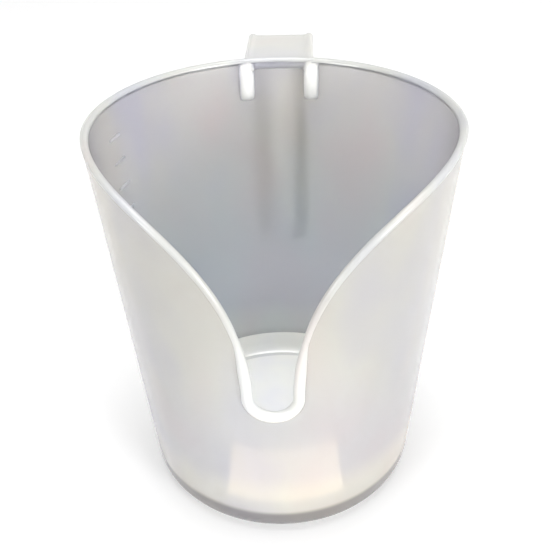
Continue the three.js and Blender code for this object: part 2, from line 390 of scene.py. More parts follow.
@dataclass
class Beaker:
    """The tapered shell with its notch, its edge bead and its floor. Lengths are in metres."""

    rim_radius: float = 62 * MM  # outside of the wall at the level of the rim
    base_radius: float = 52.6 * MM  # outside of the wall, carried down to the table
    rim_level: float = 142.3 * MM  # middle of the rim bead
    wall: float = 2.2 * MM
    floor: float = 3 * MM
    outer_corner: float = 7.3 * MM
    inner_corner: float = 4.8 * MM
    rim_bead: float = 3 * MM
    shoulder_bead: float = 2.4 * MM
    spout_bead: float = 3.75 * MM
    bead_fillet: float = 1 * MM  # between the bead and the outside of the wall
    rim_fade: float = 24 * MM
    spout_top: float = 10 * MM
    spout_fade: float = 14 * MM
    notch_bottom: float = 63.8 * MM
    notch_radius: float = 8.25 * MM
    upright: float = 0.9
    level: float = 0.48
    section: float = 3.4 * MM  # depth below the edge that follows the edge
    crowding: float = 0.6  # spacing of the columns at the spout, as a share of the mean
    fan: float = 1.6  # how fast the columns spread over the base, away from the spout
    columns: int = 420

    @property
    def slope(self) -> float:
        """Radius gained for each metre of height."""
        return (self.rim_radius - self.base_radius) / self.rim_level

    def outer_radius(self, height: float) -> float:
        """Returns the radius of the wall's outside."""
        return self.base_radius + self.slope * height

    def build(
        self,
        outside: bpy.types.Material,
        inside: bpy.types.Material,
        edge: bpy.types.Material,
        floor: bpy.types.Material,
    ) -> bpy.types.Object:
        """Makes the shell.

        Args:
            outside: finish of the wall's outside.
            inside: finish of the wall's inside.
            edge: finish of the bead along the edge, and of a painted shade line above the floor.
            floor: finish of the floor.

        Returns:
            The shell as one closed mesh.
        """
        finishes = {
            "Material": outside,
            "Inside Material": inside,
            "Edge Material": edge,
            "Floor Material": floor,
        }
        tree = Tree("Beaker shell", {**labelled(vars(self)), **finishes})
        BeakerShell(tree).grow()
        return tree.mesh("beaker")


class BeakerShell:
    """The formulas of the shell: a grid, columns by rows, laid along the cone of the wall."""

    # Rows of faces on each part
    UNDER, OUTER_CORNER, WALL, FILLET, BEAD, INNER_CORNER, FLOOR = 6, 9, 24, 4, 16, 8, 7
    FLOOR_RISE = 1  # lowest rows of the wall's inside that have the floor's finish
    CURVE_STEPS = 200  # of the curve up the shoulder
    PULL = 0.35  # how far down the wall the columns keep square to the edge
    WELD = 0.01 * MM

    def __init__(self, tree: Tree) -> None:
        """Takes the tree whose inputs are the beaker's sizes."""
        self.tree = tree
        size = tree.value
        self.slope = (size("Rim Radius") - size("Base Radius")) / size("Rim Level")
        self.cos_lean = 1.0 / root(1.0 + self.slope * self.slope)
        self.sin_lean = self.slope * self.cos_lean
        self.half_wall = size("Wall") * 0.5 * self.cos_lean
        self.notch_level = size("Notch Bottom") + size("Notch Radius")
        self.side = self.middle_radius(size("Rim Level")) * QUARTER

    def middle_radius(self, height: Field) -> Field:
        """Returns the radius of the middle of the wall."""
        size = self.tree.value
        return size("Base Radius") + self.slope * height - size("Wall") * 0.5

    def shoulder(self) -> bpy.types.NodeSocket:
        """Returns the curve from notch to rim, as (length round the wall, height)."""
        size = self.tree.value
        climb = size("Rim Level") - self.notch_level
        spread = self.side - size("Notch Radius")
        points = {
            "Start": (size("Notch Radius"), self.notch_level),
            "Start Handle": (size("Notch Radius"), self.notch_level + size("Upright") * climb),
            "End Handle": (self.side - size("Level") * spread, size("Rim Level")),
            "End": (self.side, size("Rim Level")),
        }
        inputs = {label: self.tree.vector(*point) for label, point in points.items()}
        inputs["Resolution"] = self.CURVE_STEPS
        kind = "GeometryNodeCurvePrimitiveBezierSegment"
        return self.tree.node(kind, inputs, mode="POSITION").outputs[0]

    def lay_edge(self, across: Field) -> None:
        """Works out, for each column, its point on the edge and the way along the edge.

        Args:
            across: the column's place, -1 and 1 at the back and 0 at the spout.
        """
        tree, size = self.tree, self.tree.value
        curve = self.shoulder()
        length = tree.node("GeometryNodeCurveLength", {0: curve}).outputs[0]
        bow = size("Notch Radius") * QUARTER
        front = bow + Field(tree.group, length)
        along = across.function("ABSOLUTE")
        along = along * (size("Crowding") + (1.0 - size("Crowding")) * along) * (front + self.side)
        inputs = {"Curves": curve, "Length": along - bow}
        sample = tree.node("GeometryNodeSampleCurve", inputs, mode="LENGTH")
        curve_x, curve_z, _ = tree.split(sample.outputs["Position"])
        curve_dx, curve_dz, _ = tree.split(sample.outputs["Tangent"])
        turn = along / size("Notch Radius")
        in_notch, on_rim = along < bow, along > front
        sway = size("Notch Radius") * sine(turn)
        self.x = in_notch.choose(sway, on_rim.choose(self.side + along - front, curve_x))
        low = self.notch_level - size("Notch Radius") * cosine(turn)
        self.z = in_notch.choose(low, on_rim.choose(size("Rim Level"), curve_z))
        self.dx = in_notch.choose(cosine(turn), on_rim.choose(1.0, curve_dx))
        self.dz = in_notch.choose(sine(turn), on_rim.choose(0.0, curve_dz))
        self.angle = self.x / self.middle_radius(self.z)
        share = (along / front).clamped()
        spread = hermite(share, 0.0, size("Fan") * QUARTER, QUARTER, QUARTER * front / self.side)
        self.base_angle = on_rim.choose(self.angle, spread)
        self.climb_share = (self.x - self.side) / size("Rim Fade") + 1.0

    def bead_radius(self) -> Field:
        """Returns half the bead's thickness."""
        size = self.tree.value
        rim = self.climb_share.smooth()
        rise = (self.z - self.notch_level - size("Spout Top")) / size("Spout Fade")
        spout = 1.0 - rise.smooth()
        rim_part = rim * (size("Rim Bead") - size("Shoulder Bead"))
        spout_part = spout * (size("Spout Bead") - size("Shoulder Bead"))
        return (size("Shoulder Bead") + rim_part + spout_part) * 0.5

    def section(self, fillet_step: Field, bead_step: Field, row: Field) -> tuple[Field, Field]:
        """The section across the edge: fillet, bead and the top of the inside.

        Args:
            fillet_step: 0 to 1 along the fillet.
            bead_step: 0 to 1 round the bead.
            row: the row of the grid.

        Returns:
            How far the point lies outside the middle of the wall, and above the edge's line.
        """
        size = self.tree.value
        radius, fillet = self.bead_radius(), size("Bead Fillet")
        offset = 2.0 * self.half_wall + fillet - radius
        reach = radius + fillet
        depth = root(reach * reach - offset * offset)
        meet = self.half_wall.calculate("ARCTAN2", depth, -offset)
        fillet_turn = math.pi + (meet - math.pi) * fillet_step
        bead_turn = meet - math.pi + (2.0 * math.pi - meet) * bead_step
        outside, inside = row < self.fillet_start - 0.5, row > self.bead_end + 0.5
        in_bead = row > self.fillet_end + 0.5
        aside = in_bead.choose(
            radius - self.half_wall + radius * cosine(bead_turn),
            self.half_wall + fillet + fillet * cosine(fillet_turn),
        )
        above = in_bead.choose(radius * sine(bead_turn), fillet * sine(fillet_turn) - depth)
        aside = inside.choose(-self.half_wall, outside.choose(self.half_wall, aside))
        wall_part = outside + inside
        return aside, wall_part.choose(-size("Section"), above)

    def grow(self) -> None:
        """Lays the grid over the whole shell and finishes the tree."""
        tree, size = self.tree, self.tree.value
        corner_start = self.UNDER
        wall_start = corner_start + self.OUTER_CORNER
        wall_end = wall_start + self.WALL
        self.fillet_start = wall_end + 1
        self.fillet_end = self.fillet_start + self.FILLET
        self.bead_end = self.fillet_end + self.BEAD
        inner_start = self.bead_end + 1
        inner_end = inner_start + self.WALL
        floor_start = inner_end + self.INNER_CORNER
        last = floor_start + self.FLOOR

        inputs = {
            "Size X": 2.0,
            "Size Y": float(last),
            "Vertices X": size("Columns") + 1.0,
            "Vertices Y": last + 1,
        }
        grid = tree.node("GeometryNodeMeshGrid", inputs)
        across, row, _ = tree.split(tree.position())
        row = (row + last / 2).function("ROUND")
        self.lay_edge(across)
        side = across.function("SIGN")

        corner, round_in = size("Outer Corner"), size("Inner Corner")
        lean = self.slope.function("ARCTANGENT")
        upright = QUARTER - lean
        corner_turn = -QUARTER + upright * ((row - corner_start) / self.OUTER_CORNER).clamped()
        outer_middle = size("Base Radius") + self.slope * corner - corner / self.cos_lean
        outer_radius = outer_middle * (row / self.UNDER).clamped() + corner * cosine(corner_turn)
        outer_height = corner * (1.0 + sine(corner_turn))
        inner_level = size("Floor") + round_in
        inner_wall = self.middle_radius(inner_level) - size("Wall") * 0.5
        inner_middle = inner_wall - round_in / self.cos_lean
        inner_turn = -lean - upright * ((row - inner_end) / self.INNER_CORNER).clamped()
        inward = ((row - floor_start) / self.FLOOR).clamped()
        inner_radius = inner_middle * (1.0 - inward) + round_in * cosine(inner_turn)
        inner_height = inner_level + round_in * sine(inner_turn)

        fillet_step = ((row - self.fillet_start) / self.FILLET).clamped()
        bead_step = ((row - self.fillet_end) / self.BEAD).clamped()
        aside, above = self.section(fillet_step, bead_step, row)
        is_outer = row < self.fillet_end + self.BEAD / 2
        down = is_outer.choose((wall_end - row) / self.WALL, (row - inner_start) / self.WALL)
        down = down.clamped()
        foot = is_outer.choose(
            corner * (1.0 - self.sin_lean) + self.half_wall * self.sin_lean,
            inner_level - round_in * self.sin_lean - self.half_wall * self.sin_lean,
        )
        around = self.middle_radius(self.z)
        start_angle = self.angle + self.dz * size("Section") / around
        start_level = self.z - self.dx * size("Section")
        drop = start_level - foot
        pull = self.dz * drop * self.PULL / around
        angle = hermite(down, start_angle, pull, self.base_angle, 0.0)
        level = hermite(down, start_level, -self.dx * drop * self.PULL, foot, -drop)
        lift = above + size("Section")
        angle = angle - self.dz * lift / around
        level = level + self.dx * lift
        wall_radius = self.middle_radius(level) + aside * self.cos_lean
        wall_height = level - aside * self.sin_lean

        under, inner = row < wall_start + 0.5, row > inner_end - 0.5
        radius = under.choose(outer_radius, inner.choose(inner_radius, wall_radius))
        height = under.choose(outer_height, inner.choose(inner_height, wall_height))
        bearing = side * (under + inner).choose(self.base_angle, angle)

        inside = (row > self.bead_end - 0.5) * (row < floor_start + 0.5)
        # Painted shade: a darker line where the inner corner meets the floor
        line = (row > floor_start - 1.5) * (row < floor_start - 0.5)  # the last row above the floor
        # twice, so that the faces on both sides of that row take the edge's finish, which paints a
        # shade line there
        edge = (row > self.fillet_end - 0.5) * (row < self.bead_end + 0.5) + 2.0 * line
        floor = (row > inner_end - self.FLOOR_RISE - 0.5) * (1.0 - line)
        floor = floor + (row < corner_start + 0.5)
        marked = grid.outputs["Mesh"]
        for name, share in {INSIDE_PART: inside, EDGE_AND_SHADE_LINE_PART: edge, FLOOR_PART: floor}.items():
            marked = tree.store(marked, name, share)
        position = tree.vector(radius * sine(bearing), -radius * cosine(bearing), height)
        inputs = {"Geometry": marked, "Position": position}
        placed = tree.node("GeometryNodeSetPosition", inputs).outputs[0]
        inputs = {"Geometry": placed, "Distance": self.WELD}
        welded = tree.node("GeometryNodeMergeByDistance", inputs).outputs[0]
        tree.finish(welded, AREAS, tuple(AREAS))


# Handle


@dataclass
class Station:
    """One place along the handle, as points (y, z) in its middle plane."""

    outer: np.ndarray  # on the back
    inward: np.ndarray  # unit vector from the back into the section
    tip: np.ndarray  # on the inner edge of the sides
    half: float  # half the width there
    beyond: float | None = None  # distance from the beaker's outside, near the root
    shrink: float = 0.0  # how far the section draws in, to round the free end


@dataclass
class Handle:
    """The channel that hangs from the rim and opens towards the beaker. Lengths are in metres."""

    # The section, in millimetres
    MIDDLE = (0, 0.33, 0.65)  # places across the web, as shares of its half width
    RIDGE = ((-1.45, 1), (-0.55, 0.55 / 0.6), (0.15, 0.35 / 0.6), (0.75, 0.1), (1.3, 0))
    LIP = ((0.15, 0.55), (0.55, 0.15), (1.1, 0))  # a side's inner edge, as (across, drop)
    BACK_ROUND, GUTTER_ROUND, LIP_ROUND = 1.2, 1.5, 1.1
    # The stations
    AWAY = (-1, -0.3, 0, 0.01, 0.03, 0.07, 0.13, 0.22, 0.34, 0.5, 0.7, 0.95, 1.25, 1.6, 2, 2.6)
    ROOT_TURNS = (58, 66, 74, 82, 90)  # degrees round the root's fillet
    TOP_COUNT, BEND_COUNT, GRIP_COUNT, END_COUNT = 8, 17, 14, 15
    SINK = 0.6  # drop of the root's underside for each length inside the wall
    DRAW, DRAW_LENGTH = 0.45, 0.7 * MM  # of the section at the free end
    CAP_EDGE = (0.1 * MM, -1.1 * MM)  # start of a side's root, on the channel's outside and inside
    SLACK = 0.1 * MM

    beaker: Beaker
    width: float = 27.5 * MM
    reach: float = 38.5 * MM  # from the rim bead to the back of the grip
    bend: float = 9.5 * MM
    tip: float = 39 * MM  # height of the free lower end
    tip_round: float = 11 * MM
    web: float = 2.6 * MM
    flange: float = 3 * MM
    depth: float = 9 * MM  # of the sides
    proud: float = 0.6 * MM  # how far the sides stand above the web
    inner_bend: float = 6 * MM
    root_fillet: float = 6.5 * MM
    tip_fillet: float = 5 * MM
    outer_flare: float = 2 * MM  # fillets between the sides and the wall
    inner_flare: float = 0.8 * MM
    bury: float = 1 * MM  # how far the root reaches into the wall
    show: float = 0.05 * MM  # how far the roots of the sides stand out on the inside of the wall

    @property
    def root_level(self) -> float:
        """Height where the underside of the sides meets the wall."""
        return self.top - self.depth - self.root_fillet

    @property
    def top(self) -> float:
        """Height of the top, level with the rim."""
        return self.rim_middle[1] + self.beaker.rim_bead / 2

    @property
    def back(self) -> float:
        """Distance of the back from the beaker's axis."""
        return self.rim_middle[0] + self.beaker.rim_bead / 2 + self.reach

    @property
    def rim_middle(self) -> tuple[float, float]:
        """Middle of the rim bead's section, as distance from the axis and height."""
        beaker = self.beaker
        lean = math.atan(beaker.slope)
        offset = beaker.rim_bead / 2 - beaker.wall / 2 * math.cos(lean)
        middle = beaker.outer_radius(beaker.rim_level) - beaker.wall / 2
        return middle + offset * math.cos(lean), beaker.rim_level - offset * math.sin(lean)

    def section(self) -> np.ndarray:
        """Returns the section's loop as rows (across, depth), the outside first, in metres."""
        half, inner = self.width / 2 / MM, (self.width / 2 - self.flange) / MM
        proud, floor, end = self.proud / MM, (self.proud + self.web) / MM, self.depth / MM
        back, gutter, lip = self.BACK_ROUND, self.GUTTER_ROUND, self.LIP_ROUND
        outside = [(inner * share, proud) for share in self.MIDDLE]
        outside += [(inner + step, share * proud) for step, share in self.RIDGE]
        outside += [(half - back, 0)]
        outside += arc((half - back, back), back, (22.5, 45, 67.5, 90), -1)
        outside += [(half, depth) for depth in (2.2, floor, floor + gutter, floor + 3.1, end - lip)]
        outside += arc((half - lip, end - lip), lip, (30, 60, 90), 1, along=True)
        inside = [(inner * share, floor) for share in self.MIDDLE] + [(inner - 2.3, floor)]
        inside += arc((inner - gutter, floor + gutter), gutter, (0, 18, 36, 54, 72, 90), -1)
        straight = end - floor - gutter - lip
        inside += [(inner, floor + gutter + step * straight) for step in np.linspace(0.1, 1, 8)]
        inside += [(inner + step, end - drop) for step, drop in self.LIP]
        outer, under = (mirrored(np.array(chain)) for chain in (outside, inside))
        return np.vstack([outer, under[::-1]]) * MM

    def root(self) -> Iterable[Station]:
        """Returns the stations where the handle grows out of the wall."""
        radius, level = self.root_fillet, self.root_level
        place = self.beaker.outer_radius(level)
        # Millimetres from the wall, and below 0 shares of how far the root is buried
        steps = [self.bury * step if step < 0 else step * MM for step in self.AWAY]
        steps += [radius * (1 - math.cos(turn)) for turn in np.radians(self.ROOT_TURNS)]
        for beyond in steps:
            left = max(0.0, radius**2 - (radius - beyond) ** 2)
            rise = math.sqrt(left) if beyond > 0 else self.SINK * beyond
            yield Station(
                outer=np.array((place + beyond, self.top + min(0.0, beyond))),
                inward=DOWN,
                tip=np.array((place + beyond, level + rise)),
                half=self.width / 2,
                beyond=beyond,
            )

    def bridge(self) -> Iterable[Station]:
        """Returns the stations along the level top and round the bend."""
        start = self.beaker.outer_radius(self.root_level) + self.root_fillet
        turn_start = self.back - self.depth - self.inner_bend
        for y in np.linspace(start, turn_start, self.TOP_COUNT)[1:]:
            outer = np.array((y, self.top))
            yield Station(outer, DOWN, outer + DOWN * self.depth, self.width / 2)
        middle = np.array((self.back - self.bend, self.top - self.bend))
        inner_middle = np.array((turn_start, self.top - self.depth - self.inner_bend))
        lead = self.depth + self.inner_bend - self.bend
        bow = self.bend * QUARTER
        for share in np.linspace(0, 1, self.BEND_COUNT)[1:]:
            along = share * (2 * lead + bow)
            turn = min(max((along - lead) / self.bend, 0.0), QUARTER)
            out = np.array((math.sin(turn), math.cos(turn)))
            rest = np.array((min(along, lead) - lead, -max(along - lead - bow, 0.0)))
            inner_turn = share * QUARTER
            inner = np.array((math.sin(inner_turn), math.cos(inner_turn))) * self.inner_bend
            outer = middle + out * self.bend + rest
            yield Station(outer, -out, inner_middle + inner, self.width / 2)

    def grip(self) -> Iterable[Station]:
        """Returns the stations down the grip and round its free end."""
        start = self.top - self.depth - self.inner_bend
        half, front = self.width / 2, self.back - self.depth
        forward = np.array((-1.0, 0.0))
        end_start = self.tip + self.tip_round
        levels = [(z, half) for z in np.linspace(start, end_start, self.GRIP_COUNT)[1:]]
        for turn in np.linspace(0, QUARTER, self.END_COUNT)[1:]:
            drop = self.tip_round * math.sin(turn)
            narrow = self.tip_round * (1 - math.cos(turn))
            levels.append((end_start - drop, half - narrow))
        for z, width in levels:
            low = max(0.0, self.tip + self.tip_fillet - z)
            inner = front + self.tip_fillet - math.sqrt(self.tip_fillet**2 - low**2)
            shrink = self.DRAW * max(0.0, 1 - (z - self.tip) / self.DRAW_LENGTH) ** 2
            outer, tip = np.array((self.back, z)), np.array((inner, z))
            yield Station(outer, forward, tip, width, shrink=shrink)

    def ring(self, station: Station, loop: np.ndarray) -> np.ndarray:
        """Places the section's loop at a station.

        Args:
            station: where.
            loop: rows (across, depth).

        Returns:
            One point (x, y, z) for each row.
        """
        across, depth = loop[:, 0].copy(), loop[:, 1].copy()
        side = np.abs(across) > self.width / 2 - self.flange + 1e-6
        if station.shrink:
            bone = self.width / 2 - self.flange / 2
            across += np.where(side, np.sign(across) * bone - across, 0) * station.shrink
            depth += np.where(side, 0, self.proud + self.web / 2 - depth) * station.shrink
        inner = self.width / 2 - self.flange
        flange = self.flange * math.sqrt(station.half / (self.width / 2))
        outer_part = station.half - (self.width / 2 - np.abs(across)) * flange / self.flange
        inner_part = np.abs(across) * (station.half - flange) / inner
        x = np.sign(across) * np.where(side, outer_part, inner_part)
        under = self.proud + self.web
        share = np.clip((depth - under) / (self.depth - under), 0, 1)[:, None]
        web = station.outer + station.inward * np.minimum(depth, under)[:, None]
        place = web * (1 - share) + station.tip * share
        if station.beyond is not None:
            x, place = self.rooted(station, loop, x, place)
        return np.column_stack([x, place])

    def rooted(
        self, station: Station, loop: np.ndarray, x: np.ndarray, place: np.ndarray
    ) -> tuple[np.ndarray, np.ndarray]:
        """Bends a ring near the root onto the round wall and flares its sides.

        Args:
            station: where.
            loop: rows (across, depth) of the section.
            x: the ring's points across.
            place: the ring's points as (y, z).

        Returns:
            The new x and place.
        """
        on_outside = np.arange(len(loop)) < len(loop) // 2
        under = self.proud + self.web + self.SLACK
        flank = loop[:, 1] > np.where(on_outside, self.proud, under)
        outer = fillet(station.beyond, self.outer_flare)
        inner = -fillet(station.beyond, self.inner_flare)
        side = self.width / 2 - self.flange
        sideways = np.abs(loop[:, 0]) > side - self.SLACK
        x = x + np.sign(x) * np.where(flank & sideways, np.where(on_outside, outer, inner), 0)
        radius = self.beaker.outer_radius(place[:, 1])
        on_wall = np.sqrt(radius**2 - x**2) + station.beyond
        if station.beyond <= -self.bury:
            in_root = np.abs(loop[:, 0]) > side + np.where(on_outside, *self.CAP_EDGE)
            on_wall -= np.where(in_root, self.beaker.wall + self.show - self.bury, 0)
        step = min(max(station.beyond / self.root_fillet, 0.0), 1.0)
        blend = step * step * (3 - 2 * step)
        y = on_wall * (1 - blend) + place[:, 0] * blend
        return x, np.column_stack([y, place[:, 1]])

    def build(self, material: bpy.types.Material) -> bpy.types.Object:
        """Makes the handle.

        Args:
            material: its finish.

        Returns:
            The handle as one closed mesh.
        """
        loop = self.section()
        stations = (*self.root(), *self.bridge(), *self.grip())
        rings = [self.ring(station, loop) for station in stations]
        made = add_object("handle", lofted("handle", rings))
        made.data.materials.append(material)
        return made


def arc(
    middle: tuple[float, float],
    radius: float,
    degrees: Sequence[float],
    upwards: int,
    along: bool = False,
) -> list[tuple[float, float]]:
    """A quarter round in a section.

    Args:
        middle: its middle, as (across, depth).
        radius: its radius.
        degrees: how far each point has turned.
        upwards: -1 for an arc on the shallow side of the middle, 1 for one on the deep side.
        along: whether it starts at the side rather than at the shallow or deep end.

    Returns:
        The points.
    """
    turns = [math.radians(90 - value if along else value) for value in degrees]
    across, depth = middle
    return [(across + radius * math.sin(t), depth + upwards * radius * math.cos(t)) for t in turns]


def mirrored(chain: np.ndarray) -> np.ndarray:
    """Returns a chain from the middle outwards with its mirror image before it."""
    return np.vstack([chain[:0:-1] * (-1, 1), chain])


def fillet(distance: float, radius: float) -> float:
    """Returns how far a round fillet reaches sideways at a distance from the wall."""
    left = min(radius, radius - distance)
    return radius - math.sqrt(radius**2 - left**2) if left > 0 else 0.0


def lofted(name: str, rings: Sequence[np.ndarray]) -> bpy.types.Mesh:
    """Skins rings whose first half is the outside of a channel and whose second half is its inside.

    Args:
        name: the mesh's name.
        rings: the rings, each with as many points.

    Returns:
        A closed mesh.
    """
    count = len(rings[0])
    faces = []
    for i in range(len(rings) - 1):
        here, after = i * count, (i + 1) * count
        for j in range(count):
            k = (j + 1) % count
            faces.append((here + j, here + k, after + k, after + j))
    last = (len(rings) - 1) * count
    for j in range(count // 2 - 1):
        cap = (j, count - 1 - j, count - 2 - j, j + 1)
        faces.append(cap)
        faces.append(tuple(last + corner for corner in reversed(cap)))
    mesh = bpy.data.meshes.new(name)
    mesh.from_pydata(np.vstack(rings).tolist(), [], faces)
    mesh.shade_smooth()
    return mesh


# Graduation


@dataclass
class Graduation:
    """The raised marks on the wall, one each 100 ml. Lengths are in metres."""

    BAR = {"Vertices X": 13, "Vertices Y": 3, "Vertices Z": 7, "Size": (2, 2, 2)}

    beaker: Beaker
    length: float = 8.2 * MM
    height: float = 1 * MM
    proud: float = 0.4 * MM
    sunk: float = 0.5 * MM  # how far a mark reaches into the wall
    taper: float = 0.16  # how much shorter its upper and lower edges are
    crown: float = 0.3  # how much lower its edges are than its middle
    bearing: float = math.radians(-105)  # of the middle, from the spout towards +X

    def build(self, levels: Sequence[float], material: bpy.types.Material) -> bpy.types.Object:
        """Makes the marks.

        Args:
            levels: height of each mark.
            material: their finish.

        Returns:
            All marks as one mesh of closed bars.
        """
        own = {key: value for key, value in vars(self).items() if isinstance(value, float)}
        wall = {"base_radius": self.beaker.base_radius, "slope": self.beaker.slope}
        inputs = {**labelled({**own, **wall}), "Material": material}
        tree = Tree("Graduation", inputs, takes_geometry=True)
        self.lay(tree)
        points = bpy.data.meshes.new("levels")
        points.from_pydata([(0, 0, level) for level in levels], [], [])
        return tree.mesh("graduation", points)

    def lay(self, tree: Tree) -> None:
        """Bends a bar round the wall at each point of the tree's mesh, and ends the tree."""
        size = tree.value
        _, _, height = tree.split(tree.position())
        points = tree.store(tree.source.outputs["Geometry"], LEVEL, height)
        block = tree.node("GeometryNodeMeshCube", self.BAR).outputs["Mesh"]
        bar = tree.store(block, LOCAL, tree.position())
        copies = tree.node("GeometryNodeInstanceOnPoints", {"Points": points, "Instance": bar})
        real = tree.node("GeometryNodeRealizeInstances", {0: copies.outputs[0]}).outputs[0]

        along, outwards, up = tree.split(tree.named(LOCAL, "FLOAT_VECTOR"))
        height = Field(tree.group, tree.named(LEVEL)) + up * size("Height") * 0.5
        radius = size("Base Radius") + size("Slope") * height
        rise = up * up
        square = along * along
        crown = 1.0 - size("Crown") * (rise + square * square * square)
        lift = (outwards * 0.5 + 0.5) * (size("Proud") * crown + size("Sunk")) - size("Sunk")
        half = size("Length") * 0.5
        turn = size("Bearing") + along * (1.0 - size("Taper") * rise) * half / radius
        reach = radius + lift
        position = tree.vector(reach * sine(turn), -reach * cosine(turn), height)
        place = tree.node("GeometryNodeSetPosition", {"Geometry": real, "Position": position})
        tree.finish(place.outputs[0], {}, (LOCAL, LEVEL))


# Finish


def plain_material(name: str, inputs: dict[str, object]) -> bpy.types.Material:
    """Returns a new material whose shader has these inputs."""
    made = bpy.data.materials.new(name)
    made.use_nodes = True
    feed(made.node_tree.nodes["Principled BSDF"], inputs)
    return made


@dataclass(frozen=True)
class Polypropylene:
    """Natural polypropylene: milky, lets light through, satin.

    The last three colours multiply the first, each on its own part of the height; they are painted
    light and shade, not the plastic's own colour.
    """

    name: str
    skin: bpy.types.NodeTree
    colour: tuple[float, float, float]
    clearness: float  # share of light that passes without being scattered inside
    scatter_length: float
    roughness: float = 0.22
    gloss: float = 0.35  # of the smooth skin
    gloss_roughness: float = 0.12
    scatter: tuple[float, float, float] = (1.0, 1.0, 1.0)
    refraction: float = 1.49
    levels: tuple[float, float] = (0.0, 1 * MM)  # the lower part ends between these
    painted_low_colour: tuple[float, float, float] = (1.0, 1.0, 1.0)
    hem_colour: tuple[float, float, float] = (1.0, 1.0, 1.0)
    foot_colour: tuple[float, float, float] = (1.0, 1.0, 1.0)

    def material(self) -> bpy.types.Material:
        """Returns the material."""
        made = plain_material(
            self.name,
            {
                "Transmission Weight": self.clearness,
                "IOR": self.refraction,
                "Subsurface Weight": 1.0,
                "Subsurface Radius": self.scatter,
                "Subsurface Scale": self.scatter_length,
                "Coat Weight": self.gloss,
                "Coat Roughness": self.gloss_roughness,
            },
        )
        nodes = made.node_tree.nodes
        skin = nodes.new("ShaderNodeGroup")
        skin.node_tree = self.skin
        low, high = self.levels
        feed(skin, {"Roughness": self.roughness, "Low Level": low, "High Level": high})
        for label, colour in (
            ("Color", self.colour),
            ("Painted Low Color", self.painted_low_colour),
            ("Hem Color", self.hem_colour),
            ("Foot Color", self.foot_colour),
        ):
            feed(skin, {label: (*colour, 1)})
        varying = {"Base Color": "Color", "Roughness": "Roughness", "Normal": "Normal"}
        shader = nodes["Principled BSDF"]
        feed(shader, {label: skin.outputs[output] for label, output in varying.items()})
        return made


